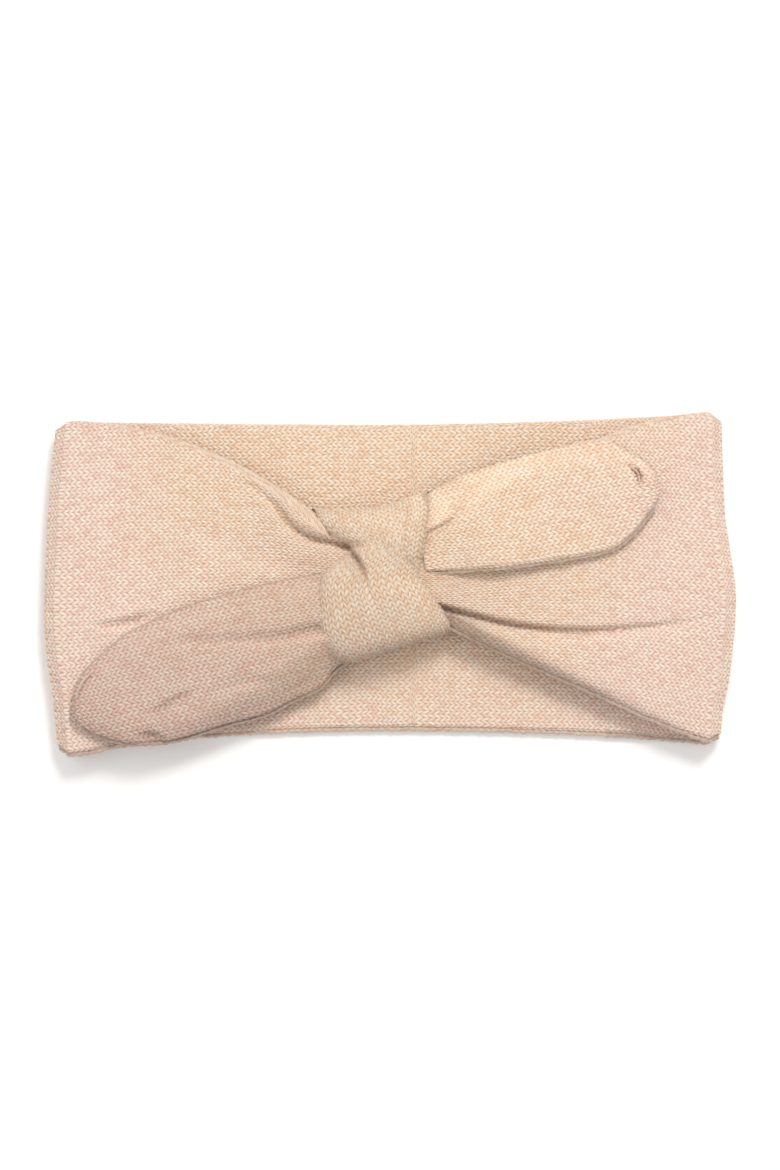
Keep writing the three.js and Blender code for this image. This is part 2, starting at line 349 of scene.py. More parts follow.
def clothStrip(name, face, thickness, course, wale, material, up=(0, 0, 1), skip=2, relief=None, spare=0,
               smooth=None, shade=0, rims=(0, 0)):
    # a padded strip from the grid of its visible face: face, rounded edge, hidden face, rounded edge;
    # smooth is that face without its creases, which the hidden face follows, and the spare stations
    # at both ends only serve the shading across a joint between two strips; shade is the painted shade
    # of the face, rims that of the edge beyond its last column and of the edge before its first
    # of the face, rims that of the edge beyond its last column and of the edge before its first
    n, m = face.shape[:2]
    relief = knit["relief"] if relief is None else relief
    normal = unit(np.cross(np.gradient(face, axis=0), np.gradient(face, axis=1)))
    if (normal[n // 2, m // 2] * np.array(up)).sum() < 0:
        normal = -normal
    smooth = face if smooth is None else smooth
    level = unit(np.cross(np.gradient(smooth, axis=0), np.gradient(smooth, axis=1)))
    if (level[n // 2, m // 2] * normal[n // 2, m // 2]).sum() < 0:
        level = -level
    half = np.broadcast_to(thickness, (n, m))[..., None] / 2
    center = face - level * half
    course, wale = np.broadcast_to(course, (n, m)), np.broadcast_to(wale, (n, m))
    turnSteps = knit["arcSteps"] + 2
    arc = np.linspace(90, -90, turnSteps)[1:-1] * math.pi / 180
    direction = np.sign(wale[n // 2, -1] - wale[n // 2, 0])
    hidden = np.arange(m - 1, -1, -skip)
    if hidden[-1] != 0:
        hidden = np.append(hidden, 0)

    def roundEdge(column, inward, angles, startWale, turned):
        side = unit(smooth[:, column] - smooth[:, inward])[:, None]
        outward = (np.cos(angles)[None, :, None] * side
                   + np.sin(angles)[None, :, None] * level[:, column][:, None])
        points = center[:, column][:, None] + half[:, column][:, None] * outward
        length = half[:, column, 0][:, None] * turned[None, :] / knit["wale"]
        return points, outward, startWale[:, None] + direction * length

    turned = np.linspace(0, math.pi, turnSteps)[1:-1]
    across = math.pi * half[:, -1, 0] / knit["wale"] * direction
    firstEdge = roundEdge(-1, -2, arc, wale[:, -1], turned)
    hiddenWale = wale[:, -1:] * 2 + across[:, None] - wale[:, hidden]
    lastEdge = roundEdge(0, 1, arc[::-1], hiddenWale[:, -1], turned)
    under = (smooth - level * half * 2)[:, hidden]
    points = np.concatenate([face, firstEdge[0], under, lastEdge[0], face[:, :1]], 1)
    outward = np.concatenate([normal, firstEdge[1], -level[:, hidden], lastEdge[1], normal[:, :1]], 1)
    lastWale = hiddenWale[:, -1:] + across[:, None]
    wales = np.concatenate([wale, firstEdge[2], hiddenWale, lastEdge[2], lastWale], 1)
    courses = np.concatenate([course, np.repeat(course[:, -1:], len(arc), 1), course[:, hidden],
                              np.repeat(course[:, :1], len(arc), 1), course[:, :1]], 1)
    shade = np.clip(np.broadcast_to(shade, (n, m)), 0, 1)
    swing = np.sin(turned)[None, :] ** 0.6
    shades = np.concatenate([shade, shade[:, -1:] * (1 - swing) + rims[0] * swing, shade[:, hidden] * 0,
                             shade[:, :1] * (1 - swing) + rims[1] * swing, shade[:, :1]], 1)
    courses, wales = unevenRows(courses, wales)
    points = points - outward * (relief * (1 - stitchHeight(courses, wales)))[..., None]
    points[:, -1] = points[:, 0]
    ringwise = np.concatenate([points[:, -2:-1], points, points[:, 1:2]], 1)
    shading = unit(np.cross(np.gradient(points, axis=0), ringwise[:, 2:] - ringwise[:, :-2]))
    turnedIn = (shading[n // 2, m // 2] * outward[n // 2, m // 2]).sum() < 0
    if turnedIn:
        shading = -shading
    grids = [points, courses, wales, shading, shades]
    if spare:
        grids = [v[spare:-spare] for v in grids]
    if not turnedIn:
        grids = [v[::-1] for v in grids]
    points, courses, wales, shading, shades = grids
    piece = meshFromRings(name, points, courses, wales, material, shading if spare else None, shades)
    return piece, points, shading


def seamRope(name, path, radius, pitch=2.3, shade=0.3):
    # a row of linked loops along a path in mm; shade is painted shade on its yarn
    steps = np.concatenate([[0], np.cumsum(np.linalg.norm(np.diff(path, axis=0), axis=1))])
    at = np.arange(0, steps[-1], 0.35)
    line = np.stack([np.interp(at, steps, path[:, k]) for k in range(3)], -1)
    for k in range(3):
        line[2:-2, k] = np.convolve(line[:, k], [0.15, 0.2, 0.3, 0.2, 0.15], "valid")
    heading = unit(np.gradient(line, axis=0))
    first = unit(np.cross(heading, np.array([0.05, 0.1, 1.0])))
    second = np.cross(first, heading)
    angle = np.linspace(0, math.tau, 13)
    loop = np.abs(np.sin(np.pi * at / pitch))
    across = radius * (0.72 + 0.34 * loop)
    high = radius * (0.8 + 0.25 * loop)
    wander = 0.14 * radius * np.sin(at * 1.7) + 0.1 * radius * np.sin(at * 0.61)
    aside = np.cos(angle)[None, :] * across[:, None] + wander[:, None]
    above = np.sin(angle)[None, :] * high[:, None]
    points = line[:, None] + first[:, None] * aside[..., None] + second[:, None] * above[..., None]
    course = np.repeat((at / pitch)[:, None], 13, 1)
    wale = np.repeat((angle / math.tau * 2)[None, :], len(at), 0)
    return meshFromRings(name, points, course, wale, seamYarn, shade=shade)


fibre = {
    "length": (0.7, 1.9),            # shortest and longest, mm
    "radius": (0.016, 0.03),
    "lift": (0.05, 0.6),             # how steeply they stand off the yarn
    "sway": 0.8,                     # how far they bend to one side
    "rooted": 0.05,                  # how deep in the yarn they start
    "taper": (1, 0.9, 0.7, 0.35),    # share of the radius at four places from root to tip
}


def looseFibres(name, points, normals, density, allowed, seed):
    # short curved fibres that stand off the yarn on the faces that show
    draw = np.random.default_rng(seed)
    points, normals = points[:, :-1], normals[:, :-1]
    n, m = points.shape[:2]
    sideA = points[1:, :-1] - points[:-1, :-1]
    sideB = points[:-1, 1:] - points[:-1, :-1]
    size = np.linalg.norm(np.cross(sideA, sideB), axis=-1)
    keep = allowed(points[:-1, :-1], normals[:-1, :-1])
    weight = (size * keep).ravel()
    count = int(weight.sum() * density)
    if count < 4:
        return None
    at = draw.choice(len(weight), count, p=weight / weight.sum())
    i, j = at // (m - 1), at % (m - 1)
    a, b = draw.uniform(0, 1, (2, count, 1))
    root = points[i, j] + a * sideA[i, j] + b * sideB[i, j]
    up = normals[i, j]
    flat = unit(np.cross(up, draw.normal(size=(count, 3))))
    lift = draw.uniform(*fibre["lift"], (count, 1))
    bend = unit(np.cross(up, flat)) * draw.uniform(-fibre["sway"], fibre["sway"], (count, 1))
    reach = draw.uniform(*fibre["length"], (count, 1))
    radius = draw.uniform(*fibre["radius"], (count, 1, 1))
    line = []
    for t in (0, 0.4, 0.75, 1):
        bow = flat * t + up * lift * math.sin(t * 2.4) + bend * t * t * 0.6
        line.append(root - up * fibre["rooted"] + reach * bow)
    line = np.stack(line, 1)
    heading = unit(np.gradient(line, axis=1))
    first = unit(np.cross(heading, up[:, None] + 0.01))
    second = np.cross(heading, first)
    corner = np.arange(3) * math.tau / 3
    taper = np.array(fibre["taper"])[None, :, None]
    section = np.cos(corner)[:, None] * first[:, :, None] + np.sin(corner)[:, None] * second[:, :, None]
    verts = (line[:, :, None] + (radius * taper)[..., None] * section).reshape(-1, 3)
    base = np.arange(count)[:, None] * 12
    quads = []
    for ring in range(3):
        for k in range(3):
            k2 = (k + 1) % 3
            here, above = ring * 3, ring * 3 + 3
            quads.append(base + np.array([[here + k, here + k2, above + k2, above + k]]))
    quads = np.concatenate(quads, 0)
    ends = np.concatenate([base + np.array([[0, 2, 1]]), base + np.array([[9, 10, 11]])], 0)
    mesh = startMesh(name, verts, [quads, ends])
    piece = finishMesh(mesh, fibreHalo)
    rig.slot(piece, "seam_yarn")
    return piece


# materials

def newGroup(name, inputs, outputs):
    group = bpy.data.node_groups.new(name, "ShaderNodeTree")
    for label, kind, value in inputs:
        socket = group.interface.new_socket(name=label, in_out="INPUT", socket_type=kind)
        if value is not None:
            socket.default_value = value
    for label, kind in outputs:
        group.interface.new_socket(name=label, in_out="OUTPUT", socket_type=kind)
    return group, group.nodes.new("NodeGroupInput"), group.nodes.new("NodeGroupOutput")


class Value:
    # a number in a shader; arithmetic on it adds math nodes to its tree
    def __init__(self, tree, socket):
        self.tree, self.socket = tree, socket

    def then(self, operation, *others):
        return mathValue(self.tree, operation, self, *others)

    def clamped(self):
        self.socket.node.use_clamp = True
        return self

    def __add__(self, other):
        return self.then("ADD", other)

    def __sub__(self, other):
        return self.then("SUBTRACT", other)

    def __rsub__(self, other):
        return mathValue(self.tree, "SUBTRACT", other, self)

    def __mul__(self, other):
        return self.then("MULTIPLY", other)

    def __truediv__(self, other):
        return self.then("DIVIDE", other)

    def __pow__(self, other):
        return self.then("POWER", other)

    def __abs__(self):
        return self.then("ABSOLUTE")


def plugIn(tree, value, socket):
    if isinstance(value, (int, float, tuple)):
        socket.default_value = value
    else:
        tree.links.new(getattr(value, "socket", value), socket)


def mathValue(tree, operation, *values):
    node = tree.nodes.new("ShaderNodeMath")
    node.operation = operation
    for socket, value in zip(node.inputs, values):
        plugIn(tree, value, socket)
    return Value(tree, node.outputs[0])


def mixColors(tree, mask, first, second, blend="MIX"):
    node = tree.nodes.new("ShaderNodeMix")
    node.data_type = "RGBA"
    node.blend_type = blend
    for socket, value in zip((node.inputs[0], node.inputs[6], node.inputs[7]), (mask, first, second)):
        plugIn(tree, value, socket)
    return node.outputs[2]


def noiseValue(tree, vector, scale, detail, roughness=0.5):
    node = tree.nodes.new("ShaderNodeTexNoise")
    for label, value in (("Scale", scale), ("Detail", detail), ("Roughness", roughness),
                         ("Vector", vector)):
        plugIn(tree, value, node.inputs[label])
    return Value(tree, node.outputs["Fac"])


def splitVector(tree, vector):
    parts = tree.nodes.new("ShaderNodeSeparateXYZ")
    plugIn(tree, vector, parts.inputs[0])
    return Value(tree, parts.outputs[0]), Value(tree, parts.outputs[1])


def sendOut(tree, result, values):
    for label, value in values.items():
        plugIn(tree, value, result.inputs[label])
    return tree


def buildStitchGroup():
    # legs of jersey stitches from the course and wale counts of a face
    tree, given, result = newGroup(
        "jerseyStitches",
        [("Stitches", "NodeSocketVector", None), ("Slant", "NodeSocketFloat", knit["slant"])],
        [("Height", "NodeSocketFloat"), ("Gap", "NodeSocketFloat"), ("Stitch Tint", "NodeSocketFloat")])
    course, wale = splitVector(tree, given.outputs["Stitches"])
    leg = abs(wale.then("FRACT") * 2 - 1)
    row = course + leg * given.outputs["Slant"]
    along = abs((row * math.pi).then("SINE"))
    across = (leg * math.pi).then("SINE").then("MAXIMUM", 0)
    height = along ** 0.7 * across ** 0.4
    cell = tree.nodes.new("ShaderNodeTexWhiteNoise")
    cell.noise_dimensions = "2D"
    cellPlace = tree.nodes.new("ShaderNodeCombineXYZ")
    plugIn(tree, row.then("FLOOR"), cellPlace.inputs[0])
    plugIn(tree, (wale * 2).then("FLOOR"), cellPlace.inputs[1])
    plugIn(tree, cellPlace.outputs[0], cell.inputs["Vector"])
    # Gap is where painted shade goes between the legs of the stitches
    return sendOut(tree, result, {"Height": height, "Gap": (1 - height * 1.5).clamped(),
                                  "Stitch Tint": cell.outputs["Value"]})


def buildFibreGroup():
    # fine brushed fibres that lie over the stitches
    tree, given, result = newGroup(
        "brushedFibres",
        [("Stitches", "NodeSocketVector", None), ("Fineness", "NodeSocketFloat", 3.4)],
        [("Height", "NodeSocketFloat"), ("Strands", "NodeSocketFloat"), ("Hollows", "NodeSocketFloat")])
    lying = []
    for k, (along, across, turn) in enumerate([(0.7, 3.4, 0.5), (0.8, 3.0, -0.6), (2.6, 0.9, 0.2)]):
        mapping = tree.nodes.new("ShaderNodeMapping")
        for label, value in (("Rotation", (0, 0, turn)), ("Scale", (along, across, 1)),
                             ("Location", (7.3 * k, 3.1 * k, 0)), ("Vector", given.outputs["Stitches"])):
            plugIn(tree, value, mapping.inputs[label])
        lying.append(noiseValue(tree, mapping.outputs[0], given.outputs["Fineness"], 3.0, 0.65))
    thickest = lying[0].then("MAXIMUM", lying[1]).then("MAXIMUM", lying[2])
    lowest = lying[0].then("MINIMUM", lying[1])
    # Hollows is where painted shade goes in the hollows under the loose fibres
    return sendOut(tree, result, {"Height": thickest, "Strands": ((thickest - 0.52) * 4.5).clamped(),
                                  "Hollows": ((0.42 - lowest) * 5).clamped()})


def buildDyeGroup():
    # slow drift of the colour over the band
    tree, given, result = newGroup(
        "dyeDrift",
        [("Place", "NodeSocketVector", None), ("Middle Reach", "NodeSocketFloat", 0.085)],
        [("Middle", "NodeSocketFloat"), ("Cloud", "NodeSocketFloat")])
    x, y = splitVector(tree, given.outputs["Place"])
    outward = abs(x) / given.outputs["Middle Reach"]
    cloud = noiseValue(tree, given.outputs["Place"], 26.0, 3.0)
    middle = ((1 - outward * outward) - y * -9 + (cloud - 0.5) * 1.6).clamped()
    return sendOut(tree, result, {"Middle": middle, "Cloud": cloud})


stitchGroup, fibreGroup, dyeGroup = buildStitchGroup(), buildFibreGroup(), buildDyeGroup()

yarnTones = {
    "blush": (0.985, 0.70, 0.60, 1),       # brushed surface towards the sides
    "cream": (0.99, 0.705, 0.465, 1),       # warmer middle of the band
    "gap": (0.52, 0.265, 0.18, 1),          # painted shade between the legs of the stitches
    "halo": (1.0, 0.92, 0.79, 1),           # ends of pale fibres
    "shade": (0.62, 0.40, 0.31, 1),         # painted shade in the hollows under the loose fibres; also darker stitches at random
    "paintedShade": (0.50, 0.47, 0.48, 1),        # painted shade: takes the yarn towards grey in creases and along rims
}


def placeGroup(tree, group, label, vector):
    # puts a group into a material and returns its outputs by name
    node = tree.nodes.new("ShaderNodeGroup")
    node.node_tree = group
    plugIn(tree, vector, node.inputs[label])
    return {output.name: Value(tree, output) for output in node.outputs}


def attributeNode(tree, name):
    node = tree.nodes.new("ShaderNodeAttribute")
    node.attribute_name = name
    return node


def knitMaterial(name, shade=(1, 1, 1), gapShare=1.0, bump=0.7, halo=0.7):
    material = bpy.data.materials.new(name)
    material.use_nodes = True
    tree = material.node_tree
    shader = tree.nodes["Principled BSDF"]
    uv = tree.nodes.new("ShaderNodeUVMap")
    uv.uv_map = "stitches"
    stitches = placeGroup(tree, stitchGroup, "Stitches", uv.outputs[0])
    fibres = placeGroup(tree, fibreGroup, "Stitches", uv.outputs[0])
    dye = placeGroup(tree, dyeGroup, "Place", attributeNode(tree, "restPlace").outputs["Vector"])
    toned = {k: tuple(c * s for c, s in zip(v[:3], shade)) + (1,) for k, v in yarnTones.items()}
    yarn = mixColors(tree, dye["Middle"], toned["blush"], toned["cream"])
    # gap and fibre hollows mix in painted shade; the stitch tint lightens and darkens stitches at random
    for mask, tone in (((stitches["Stitch Tint"] * 0.7).clamped(), "halo"),
                       (((0.3 - stitches["Stitch Tint"]) * 0.8).clamped(), "shade"),
                       (stitches["Gap"] * gapShare, "gap"),
                       (fibres["Strands"] * halo, "halo"),
                       (fibres["Hollows"] * 0.6, "shade")):
        yarn = mixColors(tree, mask, yarn, toned[tone])
    # painted shade from the point attribute: greyer yarn in creases, along rims and under edges
    paintedShade = attributeNode(tree, "paintedShade").outputs["Fac"]
    yarn = mixColors(tree, paintedShade, yarn, yarnTones["paintedShade"], "MULTIPLY")
    bumpNode = tree.nodes.new("ShaderNodeBump")
    bumpNode.inputs["Strength"].default_value = bump
    bumpNode.inputs["Distance"].default_value = 0.0005
    plugIn(tree, stitches["Height"] * 0.5 + fibres["Height"] * 1.5, bumpNode.inputs["Height"])
    for label, value in (("Base Color", yarn), ("Roughness", dye["Cloud"] * 0.16 + 0.82),
                         ("Normal", bumpNode.outputs[0]), ("Specular IOR Level", 0.2),
                         ("Sheen Weight", 0.22), ("Sheen Roughness", 0.45),
                         ("Sheen Tint", (1.0, 0.9, 0.8, 1))):
        plugIn(tree, value, shader.inputs[label])
    return material


bandKnit = knitMaterial("bandKnit")
tieKnit = knitMaterial("tieKnit", shade=(1.0, 0.995, 0.985))
# knotKnit and shadedKnit are darker copies of the knit: painted shade on the knot and on the left tail
knotKnit = knitMaterial("knotKnit", shade=(0.90, 0.90, 0.88))
shadedKnit = knitMaterial("shadedKnit", shade=(0.81, 0.775, 0.765), halo=0.65)
seamYarn = knitMaterial("seamYarn", shade=(0.93, 0.91, 0.89), gapShare=0.35, bump=0.7)


def haloMaterial():
    material = bpy.data.materials.new("fibreHalo")
    material.use_nodes = True
    tree = material.node_tree
    shader = tree.nodes["Principled BSDF"]
    geometry = tree.nodes.new("ShaderNodeNewGeometry")
    color = mixColors(tree, geometry.outputs["Random Per Island"], yarnTones["halo"],
                      yarnTones["blush"])
    for label, value in (("Base Color", color), ("Roughness", 0.8), ("Specular IOR Level", 0.15)):
        plugIn(tree, value, shader.inputs[label])
    return material


fibreHalo = haloMaterial()
print("materials ready")

# measures of the band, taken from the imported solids, mm

centerLow, centerHigh = inMillimetres("back_panel_center")
gatherLow, gatherHigh = inMillimetres("front_gather")
wrapHigh = inMillimetres("knot_wrap_front")[1]
sideLow, sideHigh = inMillimetres("back_panel_left")
rightLow, rightHigh = inMillimetres("back_panel_right")
ridgeLow, ridgeHigh = inMillimetres("back_seam")

band = {
    "thickness": centerHigh[2],
    "halfWidth": -sideLow[0],
    "frontLevel": jointByName["gather_left"]["pos_m"][2] / mm,      # lower face of the front layer
    "halfCenter": -jointByName["gather_left"]["pos_m"][0] / mm,
    "wales": 46,
    "topLeft": sideHigh[1] + 0.2,
    "topRight": rightHigh[1] + 0.2,
    "topMiddle": (centerLow[1] + centerHigh[1]) / 2 + (centerHigh[1] - centerLow[1]) / 2 - 0.4,
    "bottomLeft": sideLow[1] - 1.2,
    "bottomRight": rightLow[1] - 0.4,
    "bottomMiddle": centerLow[1] - 0.9,
    "cornerRound": 2.2,
    "gatherThickness": gatherHigh[2] - gatherLow[2],
    "pressed": 2.3,        # 1 is a round side fold, 2 a sharp one
    "cut": 72,             # where the pieces of the band meet, half way along a side
}
band["turnRadius"] = (band["frontLevel"] + band["thickness"]) / 2 - band["thickness"] / 2
band["turnX"] = band["halfWidth"] - band["thickness"] / 2 - band["turnRadius"]


def foldProfile():
    # path of a pressed side fold: length along it, place beyond turnX and about the middle, direction
    t = np.linspace(0, math.pi, 600)
    path = band["turnRadius"] * np.stack(
        [np.sin(t) ** band["pressed"], -np.sign(np.cos(t)) * np.abs(np.cos(t)) ** band["pressed"]], -1)
    length = np.concatenate([[0], np.cumsum(np.hypot(*np.diff(path, axis=0).T))])
    at = np.linspace(0, length[-1], 61)
    path = np.stack([np.interp(at, length, path[:, k]) for k in (0, 1)], -1)
    heading = np.gradient(path, axis=0)
    heading[0], heading[-1] = (1, 0), (-1, 0)
    for _ in range(3):
        heading[1:-1] = (heading[:-2] + heading[1:-1] * 2 + heading[2:]) / 4
        heading = heading / np.linalg.norm(heading, axis=1, keepdims=True)
    return at, path, heading


foldLength, foldPath, foldHeading = foldProfile()
band["turnLength"] = foldLength[-1]
band["halfLoop"] = 2 * band["turnX"] + band["turnLength"]

# grooves where the front layer is drawn into the knot: points, and the depth at each
leftCreases = [
    {"line": [(-52, 35), (-45, 31.5), (-38, 26), (-32.5, 19.5), (-25, 15.2), (-12, 12.6)],
     "depth": [0, 0.5, 1.5, 2.6, 3.4, 3.6], "width": 1.3, "lip": 0.15},
    {"line": [(-36, 31), (-30, 26.5), (-26.5, 21.8), (-20, 17)], "depth": [0, 0.9, 1.1, 0.2], "width": 0.9},
    {"line": [(-99, -13.8), (-91, -13.4), (-85, -12.2), (-77, -9)], "depth": [0, 1.5, 1.7, 0], "width": 1.5,
     "lip": 0.3},
    {"line": [(-70, 20), (-45, 10), (-22, 4)], "depth": [0, 0.7, 1.2], "width": 4.5},
]
rightCreases = [
    {"line": [(112, -9.5), (101, -12), (83, -14.2), (63, -15.2), (43, -13.6), (27, -10), (15, -7)],
     "depth": [0, 0.6, 2.0, 3.0, 3.8, 4.2, 4.4], "width": 1.05, "lip": -0.22, "step": 0.12, "fade": 9},
]


def smallerSide(x, y):
    # the folds stand out most a little below the middle of their height
    left = throughPoints([-60, -38, -22, -12, 15, 35, 60], [5.0, 2.9, .7, 0, .8, 2.1, 4.8], y)
    right = throughPoints([-60, -43, -31, -5, 15, 25, 60], [5.3, 4.6, 2.2, 0, 2.4, 3.8, 4.9], y)
    inset = np.where(x < 0, left, right)
    reach = easeIn((np.abs(x) - 62) / (band["halfWidth"] - 62))
    return x - np.sign(x) * inset * reach


def backEdges(x):
    # upper and lower edge of the back layer
    share = np.abs(x) / band["halfWidth"]
    top = np.where(x < 0, band["topLeft"], band["topRight"])
    bottom = np.where(x < 0, band["bottomLeft"], band["bottomRight"])
    upper = band["topMiddle"] + (top - band["topMiddle"]) * share ** 1.6
    lower = band["bottomMiddle"] + (bottom - band["bottomMiddle"]) * share ** 2.1
    return upper, lower


def frontEdges(x):
    # upper and lower edge of the front layer, drawn in towards the knot
    toKnot = np.clip((band["halfWidth"] - np.abs(x)) / (band["halfWidth"] - band["halfCenter"]), 0, 1)
    top = np.where(x < 0, band["topLeft"], band["topRight"])
    bottom = np.where(x < 0, band["bottomLeft"], band["bottomRight"])
    upper = top + (gatherHigh[1] + np.where(x < 0, 3.8, 0.3) - top) * toKnot ** np.where(x < 0, 2.3, 2.1)
    lower = bottom + (gatherLow[1] - 0.3 - bottom) * toKnot ** np.where(x < 0, 1.7, 1.2)
    return upper, lower, toKnot


def frontThickness(toKnot):
    return band["thickness"] + (band["gatherThickness"] - band["thickness"]) * toKnot ** 3


def bandStations(side, start, end):
    # path of the loop on one side, from the middle of the back round the fold to the knot
    step = knit["course"] / knit["stepsPerCourse"]
    run = np.arange(round(start / step) - 1, round(end / step) + 2) * step
    gone = np.clip(run - band["turnX"], 0, band["turnLength"])
    turned = gone / band["turnLength"] * math.pi
    onFront = run > band["turnX"] + band["turnLength"]
    x = np.where(run < band["turnX"], run, band["turnX"])
    x = np.where(onFront, 2 * band["turnX"] + band["turnLength"] - run, x)
    x = x + np.interp(gone, foldLength, foldPath[:, 0])
    z = band["thickness"] / 2 + band["turnRadius"] + np.interp(gone, foldLength, foldPath[:, 1])
    normal = unit(np.stack([side * np.interp(gone, foldLength, foldHeading[:, 1]),
                            -np.interp(gone, foldLength, foldHeading[:, 0])], -1))
    x = side * x
    upperBack, lowerBack = backEdges(x)
    upperFront, lowerFront, toKnot = frontEdges(x)
    isFront = turned > math.pi / 2
    rounded = band["cornerRound"] * np.sin(turned) ** 2
    upper = np.where(isFront, upperFront, upperBack) - rounded
    lower = np.where(isFront, lowerFront, lowerBack) + rounded
    thick = np.where(onFront, frontThickness(toKnot), band["thickness"])
    z = z + np.where(onFront, (thick - band["thickness"]) / 2, 0)
    return {"run": run, "x": x, "z": z, "normal": normal, "upper": upper, "lower": lower,
            "thick": thick, "onFront": onFront}


def bandPiece(name, side, start, end, creases, inside=False):
    rows = bandStations(side, start, end)
    columns = band["wales"] * knit["stepsPerWale"] + 1
    share = np.linspace(0, 1, columns)[None, :]
    if name.startswith("frontRoot"):
        rows["x"][1] -= 0.02        # the two ends at the cut stay a hair apart when the loop opens
    half = rows["thick"][:, None] / 2
    upper, lower = rows["upper"][:, None] - half, rows["lower"][:, None] + half
    y = upper + share * (lower - upper)
    nx, nz = rows["normal"][:, :1], rows["normal"][:, 1:]
    out = -half if inside else half
    x = rows["x"][:, None] + nx * out
    waves, folds = softWaves(x, y, 0.35, 5 + side), sum(creaseShift(x, y, c) for c in creases)
    onFace = np.where(rows["onFront"], 1, 0)[:, None] * (0 if inside else 1)
    level = rows["z"][:, None] + nz * (out + waves * onFace)
    x = smallerSide(x, y)
    face = np.stack(np.broadcast_arrays(x, y, level + nz * folds * onFace), -1)
    smooth = np.stack(np.broadcast_arrays(x, y, level), -1)
    course = rows["run"][:, None] / knit["course"] * side
    fullHeight = band["topLeft"] - band["bottomLeft"]
    visible = band["wales"] * ((rows["upper"] - rows["lower"]) / fullHeight)[:, None] ** 0.85
    wale = (share - 0.5) * visible
    middle = len(rows["run"]) // 2
    up = np.array([rows["normal"][middle, 0], 0, rows["normal"][middle, 1]]) * (-1 if inside else 1)
    # painted shade: greyer along the lower edge of the front layer, in its creases and on its rounded edges
    paintedEdgeShade = 0 if inside else 0.85 * np.clip((band["turnX"] - np.abs(rows["x"][:, None])) / 50, 0, 1)
    shade = creaseShadeBy(folds * onFace) + paintedEdgeShade * np.exp(-(y - lower) / 1.4)
    rims = (0.35, 0.2) if inside else (0.8 if name.startswith("front") else 0.55, 0.25)
    strip, points, shading = clothStrip(name, face, rows["thick"][:, None], course, wale, bandKnit,
                                        up=up, spare=1, smooth=smooth, shade=shade, rims=rims)
    edge = np.stack([smallerSide(rows["x"], rows["lower"]), rows["lower"] - 0.15, rows["z"]], -1)
    seam = seamRope(name + "Seam", edge, 0.8, shade=rims[0])
    fibres = looseFibres(name + "Fibres", points, shading, 0.55,
                         lambda p, v: bandShows(name, p, v), 21 + side)
    length = rows["run"][-2] - rows["run"][1]
    heights = (rows["upper"] - rows["lower"])[1:-1]
    parts = [strip, seam] + ([fibres] if fibres else [])
    if name.startswith("frontRoot"):
        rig.padded(strip, fill=0.9)
    else:
        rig.sheet(strip, flat=(heights.max() * mm, length * mm), area=heights.mean() * length * mm * mm,
                 held="gathered" if name.startswith("front") else "folded", with_pieces=parts[1:])
    return parts


# tails of the tie

